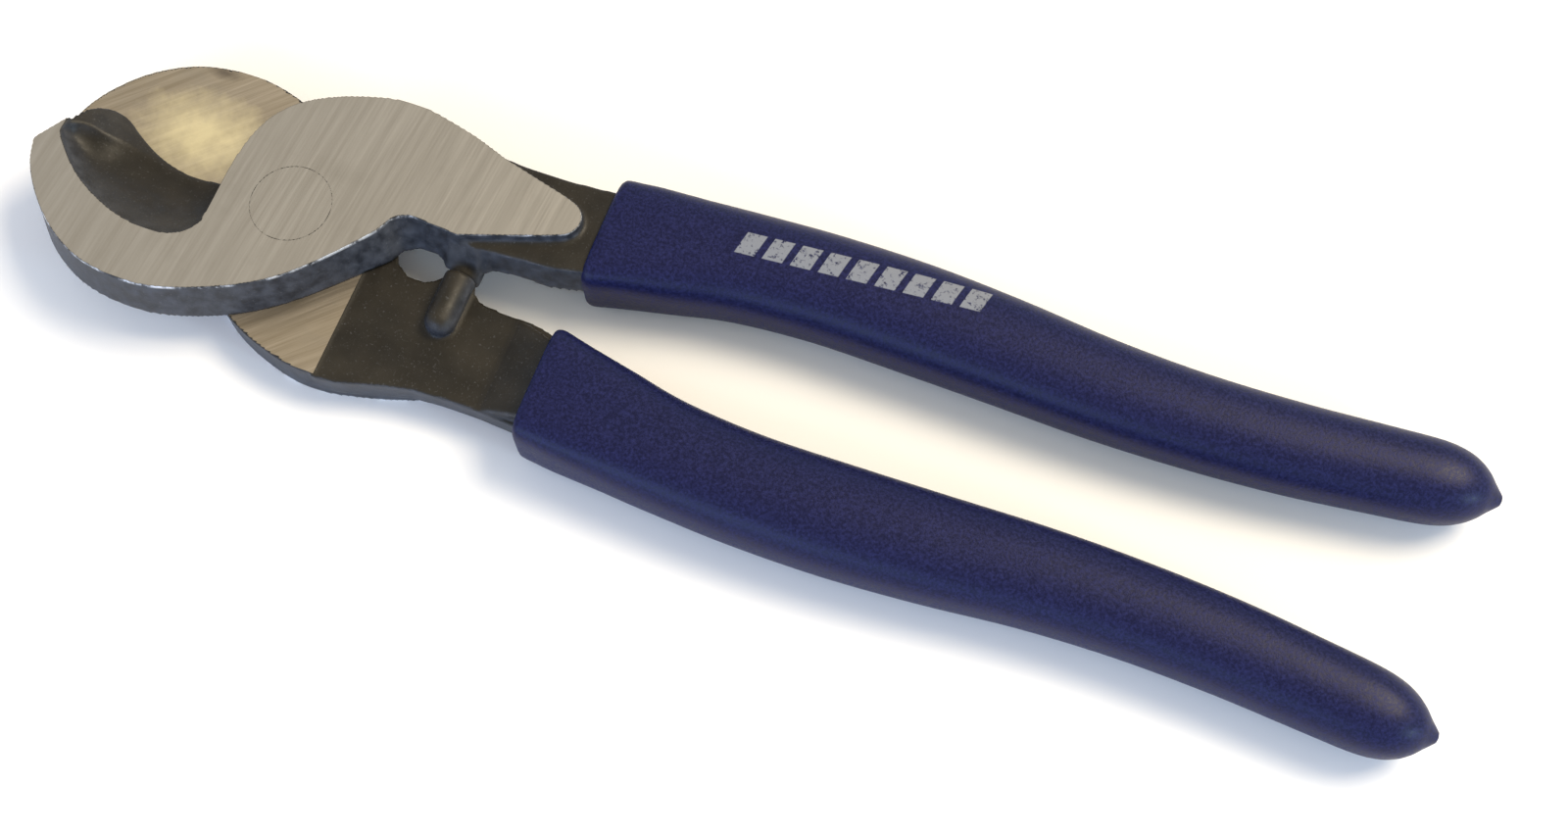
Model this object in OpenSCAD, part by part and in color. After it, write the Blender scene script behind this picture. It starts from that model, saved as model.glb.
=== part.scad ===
// One-hand cable cutter: two identical forged halves lapped on one flush rivet,
// each with a dipped vinyl grip. The second half is the first one turned half a turn
// about the tool's long axis, so both are drawn by the same module.

/* [Overall] */
// Length over the beaks and the grips
tool_len = 250; // [240:1:260]
// Thickness of one forging between its ground faces
plate_t = 8; // [7.5:0.1:8.5]
// Thickness of the grips at their fullest
grip_t = 15; // [14:0.5:15.5]

/* [Pivot] */
// Distance from the beaks' ends to the pivot
pivot_x = 47; // [46:0.5:48]
// Diameter of the rivet's shank
rivet_d = 10; // [8:0.5:12]
// Diameter of the rivet's heads at the ground faces
rivet_head_d = 14; // [13:0.5:15]
// Depth of the rivet's heads
rivet_head_h = 2; // [1:0.1:2.5]
// Running clearance between the rivet and the half that turns on it
rivet_gap = 0.05; // [0.03:0.01:0.1]

/* [Jaws] */
// Thickness left at the cutting edges
edge_land = 0.5; // [0.3:0.05:0.6]
// Height of the hollow's lowest curve control above the lapped face
hollow_z = 0.2; // [0:0.1:1]
// Gap between the lapped faces of the two halves
lap_gap = 0.04; // [0.02:0.01:0.1]

/* [Tangs] */
// Height of the forged tang above the lapped face
tang_t = 5.8; // [5.4:0.1:6.2]
// Half the thickness of the handle bar inside the grip
bar_half_t = 4.6; // [4.2:0.1:4.8]
// Wall of the grip over the handle bar
grip_wall = 2.2; // [1.8:0.1:2.4]
// Radius of the stop ridge
stop_r = 2.7; // [2.4:0.1:3]
// Height of the stop ridge over the lapped face
stop_h = 3.8; // [3:0.1:4]
// Gap between the stops of the two closed halves
stop_gap = 0.3; // [0.2:0.05:0.4]

/* [Hidden] */

ground_steel = [0.66, 0.63, 0.58];
rivet_steel = [0.7, 0.68, 0.64];
vinyl = [0.16, 0.16, 0.42];

// Plan points are written for a tool 250 mm long and scaled to its length
nominal_len = 250;
k = tool_len / nominal_len;
lap_z = lap_gap / 2;
over = 1;
steps = 4;

// Points on a smooth curve through p1 and p2, between its neighbours p0 and p3
function curve_point(p0, p1, p2, p3, u) =
    0.5 * (2 * p1 + (p2 - p0) * u + (2 * p0 - 5 * p1 + 4 * p2 - p3) * u * u
    + (3 * p1 - p0 - 3 * p2 + p3) * u * u * u);
function curve(p, n = steps) = [
    for (i = [0 : len(p) - 2], j = [0 : n - 1])
        curve_point(p[max(i - 1, 0)], p[i], p[i + 1], p[min(i + 2, len(p) - 1)], j / n)
];
function last(p) = p[len(p) - 1];
function scaled(p) = [for (q = p) q * k];
function flat(p) = [for (q = p) [q[0], q[1]]];
function reversed(p) = [for (i = [len(p) - 1 : -1 : 0]) p[i]];

// Outer edge of the hook at the lapped face, from the beak's corner to the notch behind
// the pivot, and how far the drafted wall has moved in at the ground face
hook_edge = [
    [0, -4.8], [1.5, -9.2], [4.4, -13.8], [9.6, -18.9], [16.6, -22.6], [25, -24],
    [33, -23.2], [42, -20], [49, -15.9], [54.8, -11], [60.4, -5.4], [64.4, -1.6], [66, 1.2],
    [68, 2.5], [70.6, 2.6], [73, 2.6], [75.4, 3]
];
hook_draft = [
    [0, 1.2], [0, 1.4], [0.4, 1.4], [0.6, 1.5], [0.5, 1.5], [0, 1.6],
    [-0.6, 1.5], [-0.7, 1.5], [-0.6, 1.2], [-0.8, 1], [-1.1, 1.4], [-1.8, 1.9], [-1.7, 2.2],
    [-1.1, 2.2], [-0.4, 1.9], [0, 1.7], [0.4, 1.1]
];
// Edge of the ground pad's tongue, from the notch round to the back of the plate
tongue_edge = [
    [75.8, 4.1], [84.2, 7], [91.6, 9.7], [93.6, 11.1], [94.2, 13], [93.6, 14.9],
    [91.4, 16.4], [84.4, 18.3], [77.5, 20.1]
];
// Back of the plate, round the pivot to the throat
back_edge = [
    [77.5, 20.1], [71.4, 22.2], [65.7, 23.6], [61.5, 24.4], [57, 24.5], [52.2, 23.6],
    [46, 21.5], [40.8, 18.6], [37.2, 14.8], [35.2, 10.2], [34.4, 5.6], [34.2, 2.8]
];
// Cutting edge and beak rim, with the height of the rim, from the throat to the beak
rim = [
    [34.2, 2.8, edge_land], [30, 2.3, edge_land], [25.6, 1.9, edge_land],
    [21, 2.6, edge_land], [17, 4, edge_land], [13.1, 6.1, 0.5],
    [10, 8, 1.2], [7.7, 8.2, 2.6], [5.9, 7.2, 4.2], [4.6, 5.4, 5.8], [3.9, 2.4, plate_t]
];
// Edge of the hollow on the ground face, row by row against the rim
hollow = [
    [34.1, -8.2], [32.5, -10.7], [29.3, -12.3], [24.6, -12.6], [19.4, -11.7], [14.5, -9.8],
    [10.6, -7.6], [7.6, -5.2], [5.4, -3], [4.1, -1.5], [3.4, -0.2]
];
// Crest between the hollow and the land that falls to the rim, with its height
crest = [
    [34.15, 2.4, 0.55], [30, 1.8, 0.6], [25.6, 1.3, 0.6], [20.8, 1.8, 0.7], [16.4, 2.6, 1.1],
    [12.4, 3.2, 2.2], [9.1, 2.9, 4.2], [7, 2.9, 5.6], [5.2, 2.4, 6.6], [4.2, 1.3, 7.3],
    [3.7, 0.3, 8]
];
// How deep each row of the hollow goes, from none at the beak's end to full
hollow_depth = [1, 1, 1, 1, 1, 1, 0.95, 0.85, 0.6, 0.3, 0];
hollow_columns = 9;
hollow_bow = 0.42;
// Step between the hollow and the corner of the throat
throat_step = 0.1;
// The cut starts a little before the hollow's edge and runs on past the rim
hollow_from = -0.06;
land_to = 1.3;

// Forged edges of the tang at the lapped face, and again at the tang's top
tang_outer = [
    [57, 22], [60.5, 25], [64.5, 24.7], [68, 23.7], [72, 22.6], [77, 21.6], [82, 21.3],
    [88, 21.3], [93, 21.6], [100, 22.2]
];
tang_inner = [
    [100, 5.2], [96, 4.4], [92.5, 3.6], [88, 3.4], [84, 3.2], [81.6, 2.9], [80.2, 1.8], [79.8, 0.5],
    [76.8, 0.8], [73.6, 0.6], [72.4, 1.9], [70.8, 2.5], [68.2, 2.5], [66, 1.2], [64.4, -1.6],
    [59, 2]
];
tang_draft = [
    [0, 1], [0, 1], [0, 1], [0, 1], [0, 0.9], [-0.3, 1.1], [-0.8, 2.1], [-0.9, 3.1],
    [0, 3.2], [0.5, 3.3], [0.8, 2.3], [-0.2, 1.8], [-0.4, 1.8], [-1.3, 2], [-1.7, 1.7],
    [0, 0]
];
outer_draft = [0, -0.5];
// Behind this place the inner face is left as forged, a little below the lapped face
relief_x = 60.7;
relief_z = 0.2;
// Where the tang's inner face turns onto its ramp, and where the tang ends
ramp_start = 88.7;
ramp_end = 100;
// Outline of the ramp, which is narrower than the tang
ramp_edge = [
    [86, 3.9], [91, 4.2], [94, 5.2], [97, 6.6], [100, 7.6], [100, 20.6], [94, 20.9], [86, 20.9]
];
// Where the handle bar begins and ends inside the grip
bar_start = 98.8;
bar_end = 234;

// Stations of the grip: place, offset from the tool's axis, half width, half thickness
// as a share of the grip's full half thickness, and squareness (2 is an ellipse)
grip_rows = [
    [97.2, 14.6, 10.4, 0.93, 5], [104, 15.7, 10.2, 0.97, 4], [112, 16.8, 9.8, 0.99, 3.2],
    [122, 18.2, 9.3, 1, 2.7], [136, 19.1, 9.2, 1, 2.5], [152, 19, 9.3, 1, 2.5],
    [168, 18.3, 8.9, 0.98, 2.5], [184, 17.3, 8.3, 0.95, 2.5], [200, 17.1, 7.9, 0.92, 2.5],
    [216, 17.8, 7.6, 0.89, 2.4], [230, 19.1, 7.3, 0.86, 2.3], [239, 19.9, 6.7, 0.81, 2.2],
    [244, 20.3, 5.6, 0.7, 2.1], [247, 20.4, 3.8, 0.5, 2], [248.4, 20.5, 1.8, 0.25, 2],
    [250, 20.5, 0.3, 0.04, 2]
];
grip_steps = 3;
grip_sides = 24;

stop_x = 77.1;
stop_len = 8.6;

module place() {
    translate([-tool_len / 2, 0, plate_t]) children();
}

// The second half is the first turned about the tool's long axis
module turned() {
    rotate([180, 0, 0]) children();
}

// A slab from height z0 to z1 whose edge is drafted: the outline is lower at height 0
// and upper at height h. Its faces are cut flat from a slightly taller solid
module slab(lower, upper, h, z0, z1) {
    n = len(lower);
    low = z0 - over;
    high = z1 + over;
    intersection() {
        polyhedron(
            points = [
                for (z = [low, high], i = [0 : n - 1])
                    let (p = lower[i] + (upper[i] - lower[i]) * z / h)
                    [p[0], p[1], z]
            ],
            faces = concat(
                [[for (i = [0 : n - 1]) i]],
                [[for (i = [n - 1 : -1 : 0]) n + i]],
                [for (i = [0 : n - 1]) [i, n + i, n + (i + 1) % n, (i + 1) % n]]
            )
        );
        translate([-over, -tool_len / 2, z0]) cube([tool_len, tool_len, z1 - z0]);
    }
}

// A solid through rings of points that all have the same number
module loft(rings) {
    m = len(rings[0]);
    n = len(rings);
    polyhedron(
        points = [for (ring = rings) each ring],
        faces = concat(
            [[for (j = [0 : m - 1]) j]],
            [[for (j = [m - 1 : -1 : 0]) (n - 1) * m + j]],
            [
                for (i = [0 : n - 2], j = [0 : m - 1])
                    [i * m + j, (i + 1) * m + j, (i + 1) * m + (j + 1) % m, i * m + (j + 1) % m]
            ]
        )
    );
}

// Ground plate: hook, pivot disc and tongue
module plate() {
    drafted = [for (i = [0 : len(hook_edge) - 1]) hook_edge[i] + hook_draft[i]];
    others = concat(curve(scaled(tongue_edge)), curve(scaled(back_edge)),
        curve(scaled(flat(rim))), [last(scaled(flat(rim)))]);
    slab(concat(curve(scaled(hook_edge)), others), concat(curve(scaled(drafted)), others),
        plate_t, lap_z, plate_t);
}

// The hollow behind the cutting edge, as the solid that is taken away
module hollow_cut() {
    edge_in = curve([for (p = hollow) [p[0] * k, p[1] * k, plate_t]]);
    edge_out = curve([for (p = rim) [p[0] * k - throat_step, p[1] * k, p[2]]]);
    ridge = curve([for (p = crest) [p[0] * k - throat_step, p[1] * k, p[2]]]);
    depth = curve([for (d = hollow_depth) [d, 0]]);
    loft([
        for (i = [len(edge_in) - 1 : -1 : 0])
            let (
                a = edge_in[i],
                b = ridge[i],
                out = b - a,
                rim_end = b + (edge_out[i] - b) * land_to,
                low = hollow_z + (1 - depth[i][0]) * (plate_t - hollow_z),
                c = [a[0] + out[0] * hollow_bow, a[1] + out[1] * hollow_bow, low],
                floor_line = [for (j = [0 : hollow_columns])
                    let (v = hollow_from + (1 - hollow_from) * j / hollow_columns)
                    (1 - v) * (1 - v) * a + 2 * v * (1 - v) * c + v * v * b],
                inside = floor_line[0]
            )
            concat(
                floor_line,
                [rim_end],
                [[rim_end[0], rim_end[1], plate_t + 2 * over]],
                [[inside[0], inside[1], plate_t + 2 * over]]
            )
    ]);
}

// Forged tang between the pivot disc and the dip line, with its stop lug. Its inner face
// is left a little below the lapped face, then turns onto the ramp to the handle bar
module tang() {
    lower = concat(scaled(tang_outer), scaled(tang_inner));
    upper = concat(
        [for (p = tang_outer) (p + outer_draft) * k],
        [for (i = [0 : len(tang_inner) - 1]) (tang_inner[i] + tang_draft[i]) * k]
    );
    slab(reversed(lower), reversed(upper), tang_t, relief_z / 2, tang_t);
    translate([0, 0, -bar_half_t])
        linear_extrude(bar_half_t + over) polygon(scaled(ramp_edge));
}

// Space over the forged part of the inner face and over the ramp
module relief() {
    slope = (relief_z + bar_half_t) / (ramp_end - ramp_start);
    below = 2 * bar_half_t;
    profile = [
        [relief_x, -below], [relief_x, relief_z], [ramp_start, relief_z],
        [ramp_start + (relief_z + below) / slope, -below]
    ];
    rotate([90, 0, 0])
        linear_extrude(tool_len, center = true)
            polygon([for (p = profile) [p[0] * k, p[1]]]);
}

// Handle bar inside the grip
module bar() {
    inset = [for (r = grip_rows) if (r[0] > ramp_end && r[0] < bar_end) r];
    outline = concat(
        [[bar_start, 21.8]],
        [for (r = inset) [r[0], r[1] + r[2] - grip_wall]],
        [[bar_end, 23.6], [bar_end, 15.8]],
        [for (r = reversed(inset)) [r[0], r[1] - r[2] + grip_wall]],
        [[bar_start, 6.9]]
    );
    translate([0, 0, -bar_half_t])
        linear_extrude(2 * bar_half_t) polygon(scaled(outline));
}

// Round stop ridge on the lapped face, which meets the other half's lug
module stop_ridge() {
    intersection() {
        translate([stop_x * k, stop_gap / 2, stop_r - stop_h + lap_z]) {
            rotate([-90, 0, 0]) cylinder(r = stop_r, h = stop_len, $fn = 48);
            translate([0, stop_len, 0]) sphere(r = stop_r, $fn = 48);
        }
        translate([stop_x * k - 2 * stop_r, 0, -2 * stop_h])
            cube([4 * stop_r, 2 * stop_len, 2 * stop_h + plate_t / 2]);
    }
}

// Rivet: shank with a countersunk head at each ground face, grown by a clearance
module rivet_solid(gap) {
    head_r = rivet_head_d / 2 + gap;
    shank_r = rivet_d / 2 + gap;
    translate([pivot_x * k, 0, 0])
        rotate_extrude($fn = 96)
            polygon([
                [0, -plate_t], [head_r, -plate_t], [shank_r, rivet_head_h - plate_t],
                [shank_r, plate_t - rivet_head_h], [head_r, plate_t], [0, plate_t]
            ]);
}

module half_forging(gap) {
    color(ground_steel)
        difference() {
            union() {
                difference() {
                    union() {
                        plate();
                        tang();
                    }
                    relief();
                    hollow_cut();
                }
                bar();
                stop_ridge();
            }
            rivet_solid(gap);
        }
}

// Rings of the grip, each a rounded rectangle across the handle
function ring_point(r, a) =
    let (
        c = cos(a),
        s = sin(a),
        bend = 2 / r[4],
        flat_top = pow(cos(180 / grip_sides), bend)
    )
    [
        r[0] * k,
        (r[1] + r[2] * sign(c) * pow(abs(c), bend)) * k,
        r[3] * grip_t / 2 * sign(s) * pow(abs(s), bend) / flat_top
    ];

module grip() {
    rows = curve(grip_rows, grip_steps);
    color(vinyl)
        difference() {
            loft([
                for (r = concat(rows, [last(grip_rows)]))
                    [for (j = [0 : grip_sides - 1]) ring_point(r, (j + 0.5) * 360 / grip_sides)]
            ]);
            difference() {
                tang();
                relief();
            }
            bar();
        }
}

module front_half() {
    place() half_forging(0);
}

module rear_half() {
    place() turned() half_forging(rivet_gap);
}

module pivot_rivet() {
    place() color(rivet_steel) rivet_solid(0);
}

module front_grip() {
    place() grip();
}

module rear_grip() {
    place() turned() grip();
}

front_half();
rear_half();
pivot_rivet();
front_grip();
rear_grip();
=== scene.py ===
"""Looks of the one-hand cable cutter: ground and forged steel halves, dipped vinyl grips."""
import math

import bmesh
import bpy
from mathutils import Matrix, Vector


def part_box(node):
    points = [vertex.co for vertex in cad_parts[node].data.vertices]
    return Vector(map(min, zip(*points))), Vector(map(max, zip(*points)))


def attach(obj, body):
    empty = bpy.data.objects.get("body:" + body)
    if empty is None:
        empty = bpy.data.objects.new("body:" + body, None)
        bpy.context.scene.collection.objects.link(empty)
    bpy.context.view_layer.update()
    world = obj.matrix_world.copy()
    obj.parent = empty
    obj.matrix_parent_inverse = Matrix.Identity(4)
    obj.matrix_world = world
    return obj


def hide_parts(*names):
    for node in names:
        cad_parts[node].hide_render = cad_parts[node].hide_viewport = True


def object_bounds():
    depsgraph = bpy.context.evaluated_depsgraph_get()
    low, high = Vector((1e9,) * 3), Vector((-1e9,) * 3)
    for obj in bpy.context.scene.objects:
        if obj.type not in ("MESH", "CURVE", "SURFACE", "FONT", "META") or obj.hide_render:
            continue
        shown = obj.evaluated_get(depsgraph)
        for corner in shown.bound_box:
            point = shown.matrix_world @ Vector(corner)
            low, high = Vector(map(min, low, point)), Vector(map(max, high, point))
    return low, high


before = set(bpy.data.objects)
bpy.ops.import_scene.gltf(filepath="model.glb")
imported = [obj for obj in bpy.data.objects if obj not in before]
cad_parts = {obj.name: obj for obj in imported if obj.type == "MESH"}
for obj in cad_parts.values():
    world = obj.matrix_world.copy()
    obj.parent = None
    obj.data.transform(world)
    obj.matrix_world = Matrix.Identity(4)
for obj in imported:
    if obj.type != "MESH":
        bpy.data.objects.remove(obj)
cad_low, cad_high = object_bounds()

MM = 0.001

# Height of the plane where the halves lap, thickness of one half, and the three planes
# that are ground flat
AXIS_Z = (cad_low.z + cad_high.z) / 2
PLATE_T = cad_high.z - AXIS_Z
GROUND_FACES = (cad_low.z, AXIS_Z, cad_high.z)

DIP_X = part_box("front_grip")[0].x
END_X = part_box("front_grip")[1].x
GRIP_HALF_T = (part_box("front_grip")[1].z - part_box("front_grip")[0].z) / 2

# Stations of a grip: distance from the dip line, offset from the tool's axis, half width
# (all mm), half thickness as a share of the full half thickness, and squareness
GRIP_ROWS = [
    (0.0, 14.6, 9.5, 0.82, 5.0),
    (0.15, 14.6, 9.9, 0.88, 5.0),
    (0.7, 14.7, 10.25, 0.925, 5.0),
    (1.6, 14.8, 10.4, 0.94, 4.8),
    (3.4, 15.1, 10.35, 0.955, 4.4),
    (6.8, 15.7, 10.2, 0.97, 4.0),
    (14.8, 16.8, 9.8, 0.99, 3.2),
    (24.8, 18.2, 9.3, 1.0, 2.7),
    (38.8, 19.1, 9.2, 1.0, 2.5),
    (54.8, 19.0, 9.25, 1.0, 2.5),
    (70.8, 18.3, 8.9, 0.98, 2.5),
    (86.8, 17.3, 8.3, 0.95, 2.5),
    (102.8, 17.1, 7.9, 0.92, 2.4),
    (118.8, 17.8, 7.6, 0.89, 2.4),
    (132.8, 19.1, 7.3, 0.87, 2.3),
    (141.0, 19.9, 7.0, 0.85, 2.3),
    (145.0, 20.2, 6.4, 0.79, 2.2),
    (147.6, 20.35, 5.4, 0.68, 2.1),
    (149.6, 20.45, 4.0, 0.52, 2.0),
    (151.0, 20.5, 2.5, 0.33, 2.0),
    (152.0, 20.5, 1.5, 0.19, 2.0),
    (152.6, 20.5, 0.85, 0.11, 2.0),
]
GRIP_SIDES = 40
GRIP_STEPS = 5

# Forgings: size of the new faces, passes of rounding, thickness of what counts as flat
# ground, how far from it the rounding fades in, and how close points are one point
VOXEL = 0.3 * MM
ROUNDING = 14
FLAT = 0.12 * MM
FADE = 1.2 * MM
MERGE = 0.005 * MM

# The jaw keeps its sharp shape up to here, and the rounding then fades in over this length
JAW_END_X = cad_low.x + 40 * MM
JAW_FADE = 5 * MM

# Past this line the inner face is forged scale and no longer ground
RELIEF_X = cad_low.x + 60.7 * MM

# The hollow behind the cutting edge reaches this far sideways and this far back: its own
# edge isn't worn bright
HOLLOW_Y = 12.9 * MM
HOLLOW_END_X = cad_low.x + 36 * MM

# Distance of the pivot from the beaks' ends in mm, and the radius round it where the painted
# shade along the edges, at the seam of the rivet, is only faint
PIVOT_X = 47
RIVET_CLEAR = 7.6 * MM

# The plain printed bars on the front grip: start in mm from the beaks' ends and the axis
PRINT_START = (120.5, 19.1)
PRINT_TURN = math.radians(4.8)
PRINT_LENGTH = 42 * MM
PRINT_HALF = 2.0 * MM
PRINT_PITCH = 4.8 * MM
PRINT_BAR = 3.4 * MM
PRINT_SOFT = 0.15 * MM
PRINT_SLANT = -0.3

CAMERA_PLACE = (0.0668, -0.1269, AXIS_Z + 0.3269)
CAMERA_TURN = (22.16, 1.48, 20.58)
CAMERA_LENS = 49.5
CAMERA_SENSOR = 36.0
CAMERA_NEAR = 0.01

FLOOR_HALF = 3.0


def on_tool(x, y):
    """A place given in mm from the beaks' ends and from the tool's axis."""
    return (cad_low.x + x * MM, y * MM, 0)


# ---------------------------------------------------------------- materials

def new_material(name):
    made = bpy.data.materials.new(name)
    made.use_nodes = True
    return made, made.node_tree, made.node_tree.nodes["Principled BSDF"]


def node(tree, kind, inputs=None, output=0, **settings):
    """A new shader node with its settings and inputs; gives its output socket."""
    made = tree.nodes.new("ShaderNode" + kind)
    for key, value in settings.items():
        setattr(made, key, value)
    for key, value in (inputs or {}).items():
        if isinstance(value, bpy.types.NodeSocket):
            tree.links.new(value, made.inputs[key])
        else:
            made.inputs[key].default_value = value
    return made.outputs[output]


def noise(tree, size, seed, detail=3.0, rough=0.5):
    """Noise whose blobs are size (x, y, z) mm across, from 0 to 1."""
    place = node(tree, "TexCoord", output="Object")
    spread = node(tree, "Mapping", {
        "Vector": place,
        "Location": (seed, seed * 1.7, seed * 0.6),
        "Scale": tuple(1 / (s * MM) for s in size),
    })
    return node(tree, "TexNoise", {
        "Vector": spread, "Scale": 1.0, "Detail": detail, "Roughness": rough,
    })


def grain(tree, turn, size, seed, detail=2.0):
    """Noise drawn out along one direction of the ground face, turned about Z."""
    place = node(tree, "TexCoord", output="Object")
    turned = node(tree, "Mapping", {"Vector": place, "Rotation": (0, 0, math.radians(-turn))})
    spread = node(tree, "Mapping", {
        "Vector": turned,
        "Location": (seed, seed * 1.3, 0),
        "Scale": tuple(1 / (s * MM) for s in size),
    })
    return node(tree, "TexNoise", {"Vector": spread, "Scale": 1.0, "Detail": detail})


def remap(tree, value, low, high, to_low=0.0, to_high=1.0):
    return node(tree, "MapRange", {
        "Value": value, "From Min": low, "From Max": high, "To Min": to_low, "To Max": to_high,
    })


def mix(tree, share, first, second, kind="MIX"):
    return node(tree, "MixRGB", {"Fac": share, "Color1": first, "Color2": second},
                blend_type=kind)


def times(tree, first, second):
    return node(tree, "Math", {0: first, 1: second}, operation="MULTIPLY")


def size_of(tree, value):
    """A number without its sign."""
    return node(tree, "Math", {0: value}, operation="ABSOLUTE")


def part_of(tree, vector, axis):
    """The X, Y or Z of a vector."""
    return node(tree, "SeparateXYZ", {0: vector}, output=axis)


def rgb(*linear):
    return (*linear, 1.0)


def spot(tree, centre, across, along, seed):
    """A soft patch round a place on a ground face, with a broken outline, from 0 to 1."""
    place = node(tree, "TexCoord", output="Object")
    moved = node(tree, "VectorMath", {0: place, 1: centre}, operation="SUBTRACT")
    shrunk = node(tree, "VectorMath", {
        0: moved, 1: (1 / across, 1 / along, 0),
    }, operation="MULTIPLY")
    far = node(tree, "VectorMath", {0: shrunk}, output="Value", operation="LENGTH")
    ragged = node(tree, "Math", {
        0: far, 1: remap(tree, noise(tree, (4, 4, 9), seed, 4.0, 0.6), 0, 1, -0.45, 0.45),
    }, operation="ADD")
    return remap(tree, ragged, 1.0, 0.1)


def near_edge(tree, radius):
    """The normal rounded over a radius, and how well the surface keeps to it: 1 on the
    flat, less the closer and sharper a corner is."""
    rounded = node(tree, "Bevel", {"Radius": radius}, samples=6)
    plain = node(tree, "NewGeometry", output="Normal")
    along = node(tree, "VectorMath", {0: rounded, 1: plain}, output="Value",
                 operation="DOT_PRODUCT")
    return rounded, along


def ground_steel(name, turn, dark, light, patches):
    """Surface-ground steel: fine parallel lines, faint smudges, given patches of other tone (some
    of them painted highlights) and a dark broken line of painted shade along the edges.
    """
    made, tree, shader = new_material(name)
    fine = grain(tree, turn, (9, 0.22, 40), 3.1, 3.0)
    broad = grain(tree, turn, (30, 1.1, 40), 8.4)
    smudge = noise(tree, (9, 7, 20), 5.2, 4.0, 0.6)
    lines = node(tree, "Math", {0: fine, 1: broad}, operation="ADD")
    colour = mix(tree, remap(tree, lines, 0.7, 1.3), dark, light)
    stain = remap(tree, smudge, 0.56, 0.80, 0.0, 0.3)
    colour = mix(tree, stain, colour, rgb(0.36, 0.33, 0.28))
    # Patches of other tone mixed into the colour; some of them are painted highlights
    for centre, across, along, seed, share, tint in patches:
        amount = times(tree, spot(tree, centre, across, along, seed), share)
        colour = mix(tree, amount, colour, tint)
    # Painted shade: a dark line along every edge, mixed into the colour, faint round the rivet's
    # seam
    _, along = near_edge(tree, 0.3 * MM)
    place = node(tree, "TexCoord", output="Object")
    level = node(tree, "VectorMath", {0: place, 1: (1, 1, 0)}, operation="MULTIPLY")
    from_pivot = node(tree, "VectorMath", {0: level, 1: on_tool(PIVOT_X, 0)},
                      output="Value", operation="DISTANCE")
    clear = remap(tree, from_pivot, RIVET_CLEAR, RIVET_CLEAR + MM, 0.12, 1.0)
    corner = remap(tree, along, 0.999, 0.93, 0.0, 0.75)
    colour = mix(tree, times(tree, corner, clear), colour, rgb(0.10, 0.095, 0.09))
    tree.links.new(colour, shader.inputs["Base Color"])
    tree.links.new(remap(tree, lines, 0.7, 1.3, 0.34, 0.46), shader.inputs["Roughness"])
    shader.inputs["Metallic"].default_value = 1.0
    bump = node(tree, "Bump", {"Height": fine, "Strength": 0.2, "Distance": 0.02 * MM})
    tree.links.new(bump, shader.inputs["Normal"])
    return made


def forged_steel(name):
    """Black forging scale: pitted, brown on the faces, blue-grey on the walls as a painted
    reflection of the bluish floor, and worn bright in places along the edges."""
    made, tree, shader = new_material(name)
    pits = noise(tree, (0.45, 0.45, 0.45), 2.2, 4.0, 0.6)
    lumps = noise(tree, (2.2, 2.2, 2.2), 6.1, 3.0)
    patch = noise(tree, (11, 8, 8), 1.4, 3.0)
    brown = mix(tree, remap(tree, patch, 0.35, 0.68),
                rgb(0.013, 0.0105, 0.0065), rgb(0.026, 0.021, 0.0135))
    blue = mix(tree, remap(tree, lumps, 0.35, 0.68),
               rgb(0.020, 0.0215, 0.026), rgb(0.056, 0.059, 0.068))
    plain = node(tree, "NewGeometry", output="Normal")
    slope = size_of(tree, part_of(tree, plain, "Z"))
    # Painted reflection: walls get a lighter blue-grey, the reflection of the bluish floor, while
    # faces that point up stay brown
    colour = mix(tree, remap(tree, slope, 0.85, 0.35), brown, blue)
    colour = mix(tree, remap(tree, pits, 0.60, 0.78, 0.0, 0.5), colour,
                 rgb(0.12, 0.12, 0.12))
    rounded, along = near_edge(tree, 0.7 * MM)
    place = node(tree, "TexCoord", output="Object")
    height = part_of(tree, place, "Z")
    from_lap = size_of(tree, node(tree, "Math", {0: height, 1: AXIS_Z}, operation="SUBTRACT"))
    sideways = size_of(tree, part_of(tree, place, "Y"))
    outside = node(tree, "Math", {
        0: remap(tree, sideways, HOLLOW_Y, HOLLOW_Y + 0.5 * MM),
        1: remap(tree, part_of(tree, place, "X"), HOLLOW_END_X, HOLLOW_END_X + MM),
    }, operation="MAXIMUM")
    corner = times(tree, remap(tree, along, 0.97, 0.86),
                   remap(tree, from_lap, 0.8 * MM, 1.6 * MM))
    bare = times(tree, corner, remap(tree, lumps, 0.46, 0.60))
    burr = times(tree, remap(tree, from_lap, PLATE_T - 0.65 * MM, PLATE_T - 0.3 * MM),
                 remap(tree, noise(tree, (5, 5, 5), 3.3, 4.0, 0.7), 0.46, 0.58))
    marks = node(tree, "Math", {0: bare, 1: burr}, operation="MAXIMUM")
    on_wall = remap(tree, slope, 0.90, 0.75)
    worn = times(tree, times(tree, marks, outside), on_wall)
    colour = mix(tree, worn, colour, rgb(0.62, 0.62, 0.62))
    tree.links.new(colour, shader.inputs["Base Color"])
    tree.links.new(remap(tree, lumps, 0.3, 0.7, 0.38, 0.55), shader.inputs["Roughness"])
    shader.inputs["Specular IOR Level"].default_value = 0.28
    tree.links.new(remap(tree, worn, 0.0, 1.0, 0.0, 0.8), shader.inputs["Metallic"])
    first = node(tree, "Bump", {
        "Height": lumps, "Normal": rounded, "Strength": 0.45, "Distance": 0.12 * MM,
    })
    bump = node(tree, "Bump", {
        "Height": pits, "Normal": first, "Strength": 0.4, "Distance": 0.05 * MM,
    })
    tree.links.new(bump, shader.inputs["Normal"])
    return made


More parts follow.
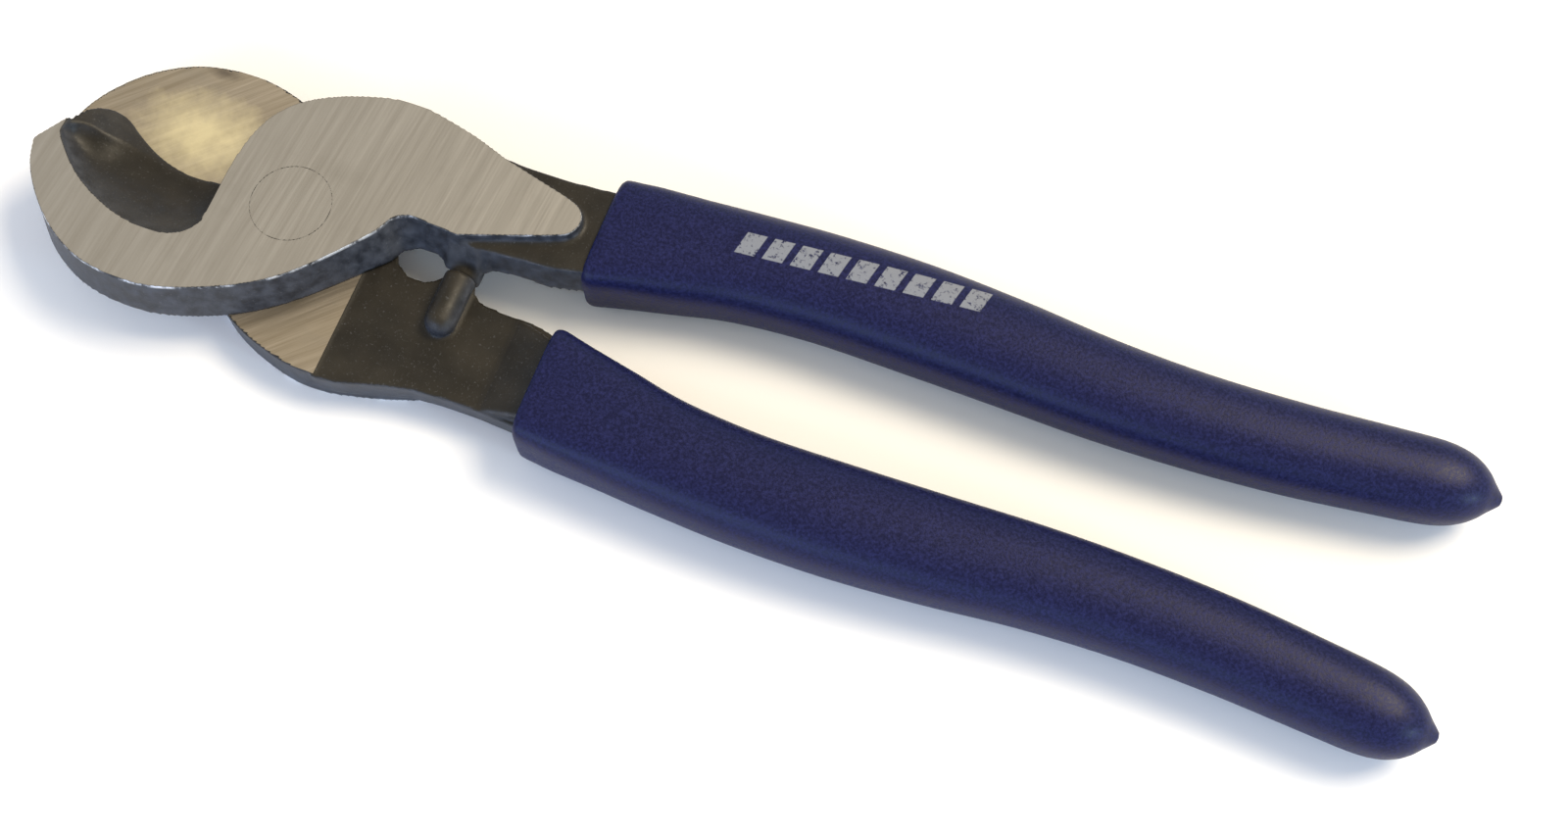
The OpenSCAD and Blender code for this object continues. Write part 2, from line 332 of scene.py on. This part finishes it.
def printed_bars(tree):
    """A worn row of plain slanted bars printed along the top of one grip, from 0 to 1."""
    place = node(tree, "TexCoord", output="Object")
    moved = node(tree, "VectorMath", {0: place, 1: on_tool(*PRINT_START)},
                 operation="SUBTRACT")
    turned = node(tree, "Mapping", {"Vector": moved, "Rotation": (0, 0, -PRINT_TURN)})
    along = part_of(tree, turned, "X")
    across = part_of(tree, turned, "Y")
    height = part_of(tree, place, "Z")
    slant = node(tree, "Math", {0: across, 1: PRINT_SLANT, 2: along},
                 operation="MULTIPLY_ADD")
    step = node(tree, "Math", {0: slant, 1: PRINT_PITCH}, operation="MODULO")
    mask = remap(tree, step, PRINT_BAR + PRINT_SOFT, PRINT_BAR)
    limits = (
        (slant, 0, PRINT_SOFT),
        (slant, PRINT_LENGTH, PRINT_LENGTH - PRINT_SOFT),
        (across, -PRINT_HALF - PRINT_SOFT, -PRINT_HALF),
        (across, PRINT_HALF + PRINT_SOFT, PRINT_HALF),
        (height, AXIS_Z, AXIS_Z + MM),
        (noise(tree, (0.8, 0.8, 0.8), 9.1, 4.0, 0.7), 0.34, 0.46),
    )
    for value, outside, inside in limits:
        mask = times(tree, mask, remap(tree, value, outside, inside))
    return mask


def vinyl(name, printed=False):
    """Dipped vinyl: navy, satin, with a fine frosted grain."""
    made, tree, shader = new_material(name)
    frost = noise(tree, (0.5, 0.5, 0.5), 4.4, 3.0, 0.7)
    waves = noise(tree, (6, 3.5, 3.5), 7.7, 2.0)
    colour = mix(tree, remap(tree, frost, 0.40, 0.72),
                 rgb(0.0050, 0.0060, 0.031), rgb(0.0150, 0.0175, 0.080))
    if printed:
        colour = mix(tree, printed_bars(tree), colour, rgb(0.20, 0.21, 0.235))
    tree.links.new(colour, shader.inputs["Base Color"])
    tree.links.new(remap(tree, frost, 0.35, 0.7, 0.32, 0.52), shader.inputs["Roughness"])
    shader.inputs["Specular IOR Level"].default_value = 0.17
    first = node(tree, "Bump", {"Height": waves, "Strength": 0.25, "Distance": 0.25 * MM})
    bump = node(tree, "Bump", {
        "Height": frost, "Normal": first, "Strength": 0.5, "Distance": 0.08 * MM,
    })
    tree.links.new(bump, shader.inputs["Normal"])
    return made


def floor_material(name):
    made, _, shader = new_material(name)
    shader.inputs["Base Color"].default_value = rgb(0.90, 0.895, 0.89)
    shader.inputs["Roughness"].default_value = 0.9
    shader.inputs["Specular IOR Level"].default_value = 0.1
    return made


# ---------------------------------------------------------------- pieces

def add_object(name, mesh, body, slot, *nodes):
    made = bpy.data.objects.new(name, mesh)
    bpy.context.scene.collection.objects.link(made)
    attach(made, body)
    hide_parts(*nodes)
    return made


def modified(mesh, kind, **settings):
    """The mesh after one modifier."""
    holder = bpy.data.objects.new("holder", mesh)
    bpy.context.scene.collection.objects.link(holder)
    if "vertex_group" in settings:
        group = holder.vertex_groups.new(name=settings["vertex_group"])
        for index, weight in enumerate(settings.pop("weights")):
            if weight > 0:
                group.add([index], weight, "REPLACE")
    modifier = holder.modifiers.new("made", kind)
    for key, value in settings.items():
        setattr(modifier, key, value)
    made = bpy.data.meshes.new_from_object(
        holder.evaluated_get(bpy.context.evaluated_depsgraph_get()))
    bpy.data.objects.remove(holder)
    return made


def off_ground(z):
    """How far a height is from the nearest ground plane."""
    return min(abs(z - plane) for plane in GROUND_FACES)


def softness(place):
    """How much the rounding may move a point: none on the ground planes or in the jaw."""
    by_plane = (off_ground(place.z) - FLAT) / FADE
    by_jaw = (place.x - JAW_END_X) / JAW_FADE
    return min(1.0, max(0.0, min(by_plane, by_jaw)))


def settle(z):
    """Height of a ground face's point, put exactly into its plane."""
    return min(GROUND_FACES, key=lambda plane: abs(z - plane)) if off_ground(z) < FLAT else z


def forging(name, node_name, body, materials):
    """One half: the CAD shape remade in fine even faces, its forged corners worn round
    while the ground planes stay flat."""
    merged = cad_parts[node_name].data.copy()
    merged.materials.clear()
    shape = bmesh.new()
    shape.from_mesh(merged)
    bmesh.ops.remove_doubles(shape, verts=shape.verts, dist=MERGE)
    shape.to_mesh(merged)
    shape.free()
    even = modified(merged, "REMESH", mode="VOXEL", voxel_size=VOXEL)
    soft = [softness(v.co) for v in even.vertices]
    mesh = modified(even, "SMOOTH", vertex_group="soft", weights=soft, factor=0.5,
                    iterations=ROUNDING)
    mesh.name = name
    for material in materials:
        mesh.materials.append(material)
    for vertex in mesh.vertices:
        vertex.co.z = settle(vertex.co.z)
    mesh.update()
    for face in mesh.polygons:
        flat = all(off_ground(mesh.vertices[i].co.z) < MERGE for i in face.vertices)
        face.use_smooth = not flat
        middle = abs(face.center.z - AXIS_Z) < MM
        ground = flat and not (middle and face.center.x > RELIEF_X)
        face.material_index = 2 if not ground else int(middle)
    return add_object(name, mesh, body, "forged_steel", node_name)


def between(rows, steps):
    """More stations on smooth curves through the given ones."""
    made = []
    for i in range(len(rows) - 1):
        p0, p1 = rows[max(i - 1, 0)], rows[i]
        p2, p3 = rows[i + 1], rows[min(i + 2, len(rows) - 1)]
        for j in range(steps):
            u = j / steps
            made.append(tuple(
                0.5 * (2 * b + (c - a) * u + (2 * a - 5 * b + 4 * c - d) * u * u
                       + (3 * b - a - 3 * c + d) * u ** 3)
                for a, b, c, d in zip(p0, p1, p2, p3)
            ))
    return made + [rows[-1]]


def grip(name, node_name, body, side, material):
    """A dipped grip: a skin lofted through rounded sections, closed at the dip line."""
    rings = []
    shape = bmesh.new()
    for x, y, half, share, power in between(GRIP_ROWS, GRIP_STEPS):
        ring = []
        for j in range(GRIP_SIDES):
            angle = 2 * math.pi * (j + 0.5) / GRIP_SIDES
            c, s = math.cos(angle), math.sin(angle)
            ring.append(shape.verts.new((
                DIP_X + x * MM,
                side * (y + half * math.copysign(abs(c) ** (2 / power), c)) * MM,
                AXIS_Z + share * GRIP_HALF_T * math.copysign(abs(s) ** (2 / power), s),
            )))
        rings.append(ring)
    for first, second in zip(rings, rings[1:]):
        for j in range(GRIP_SIDES):
            k = (j + 1) % GRIP_SIDES
            shape.faces.new((first[j], second[j], second[k], first[k]))
    shape.faces.new(rings[0])
    tip = shape.verts.new((END_X, side * GRIP_ROWS[-1][1] * MM, AXIS_Z))
    for j in range(GRIP_SIDES):
        shape.faces.new((rings[-1][j], tip, rings[-1][(j + 1) % GRIP_SIDES]))
    bmesh.ops.recalc_face_normals(shape, faces=shape.faces)
    for face in shape.faces:
        face.smooth = len(face.verts) < 5
    mesh = bpy.data.meshes.new(name)
    shape.to_mesh(mesh)
    shape.free()
    mesh.materials.append(material)
    return add_object(name, mesh, body, "dipped_vinyl", node_name)


def floor():
    mesh = bpy.data.meshes.new("floor")
    corners = [(x * FLOOR_HALF, y * FLOOR_HALF, 0) for x, y in ((-1, -1), (1, -1), (1, 1), (-1, 1))]
    mesh.from_pydata(corners, [], [(0, 1, 2, 3)])
    mesh.materials.append(floor_material("pale_floor"))
    made = bpy.data.objects.new("floor", mesh)
    bpy.context.scene.collection.objects.link(made)
    made.location.z = cad_low.z


# ---------------------------------------------------------------- light and camera

def area_light(name, place, target, size, power, colour):
    light = bpy.data.lights.new(name, "AREA")
    light.shape = "RECTANGLE"
    light.size, light.size_y = size
    light.energy = power
    light.color = colour
    made = bpy.data.objects.new(name, light)
    bpy.context.scene.collection.objects.link(made)
    made.location = place
    made.rotation_euler = (Vector(target) - Vector(place)).to_track_quat("-Z", "Y").to_euler()


def world_light(strength, above, around):
    """A dim warm ceiling over cooler light from all round."""
    world = bpy.data.worlds.new("room")
    bpy.context.scene.world = world
    world.use_nodes = True
    tree = world.node_tree
    way = node(tree, "TexCoord", output="Generated")
    height = node(tree, "SeparateXYZ", {0: way}, output="Z")
    colour = mix(tree, remap(tree, height, 0.35, 0.75), rgb(*around), rgb(*above))
    background = tree.nodes["Background"]
    tree.links.new(colour, background.inputs["Color"])
    background.inputs["Strength"].default_value = strength


def camera():
    data = bpy.data.cameras.new("camera")
    data.lens = CAMERA_LENS
    data.sensor_width = CAMERA_SENSOR
    data.clip_start = CAMERA_NEAR
    made = bpy.data.objects.new("camera", data)
    bpy.context.scene.collection.objects.link(made)
    made.location = CAMERA_PLACE
    made.rotation_euler = [math.radians(turn) for turn in CAMERA_TURN]
    bpy.context.scene.camera = made


# Patches on ground steel: place, half width, half length, seed, share and colour
FACE_PATCHES = [
    (on_tool(52, 8), 6 * MM, 3 * MM, 2.2, 0.25, rgb(0.34, 0.31, 0.26)),
]
INNER_HIGHLIGHT_AND_PATCH = [
    # A painted golden highlight on the jaws' inner faces; the next entry is a small dark patch
    (on_tool(23, 10), 14 * MM, 10 * MM, 3.4, 1.0, rgb(1.0, 0.86, 0.52)),
    (on_tool(21.5, 22.7), 4 * MM, 1.6 * MM, 6.6, 0.8, rgb(0.16, 0.13, 0.10)),
]
steel_face = ground_steel("ground_steel_face", 86, rgb(0.445, 0.41, 0.355),
                          rgb(0.485, 0.45, 0.39), FACE_PATCHES)
steel_inner = ground_steel("ground_steel_inner", 44, rgb(0.40, 0.33, 0.235),
                           rgb(0.52, 0.44, 0.33), INNER_HIGHLIGHT_AND_PATCH)
scale_black = forged_steel("forged_scale")
navy = vinyl("navy_vinyl")
navy_printed = vinyl("navy_vinyl_printed", printed=True)

steels = (steel_face, steel_inner, scale_black)
forging("front_forging", "front_half", "front", steels)
forging("rear_forging", "rear_half", "rear", steels)
grip("front_grip_skin", "front_grip", "front", 1, navy_printed)
grip("rear_grip_skin", "rear_grip", "rear", -1, navy)

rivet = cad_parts["pivot_rivet"]
rivet.data.materials.clear()
rivet.data.materials.append(steel_face)

floor()
world_light(1.0, (0.66, 0.62, 0.55), (0.72, 0.84, 1.04))
area_light("window", (0.55, 0.45, 0.95), (0, 0, 0), (0.55, 0.5), 14, (1.0, 0.87, 0.66))
area_light("cool_fill", (-0.35, -0.95, 0.42), (0, 0, 0), (0.9, 0.4), 6.5, (0.42, 0.60, 1.0))
area_light("end_glint", (0.62, -0.15, 0.2), (0.12, 0, 0), (0.07, 0.07), 1.1, (0.55, 0.78, 1.0))
camera()
bpy.context.scene.view_settings.view_transform = "Standard"
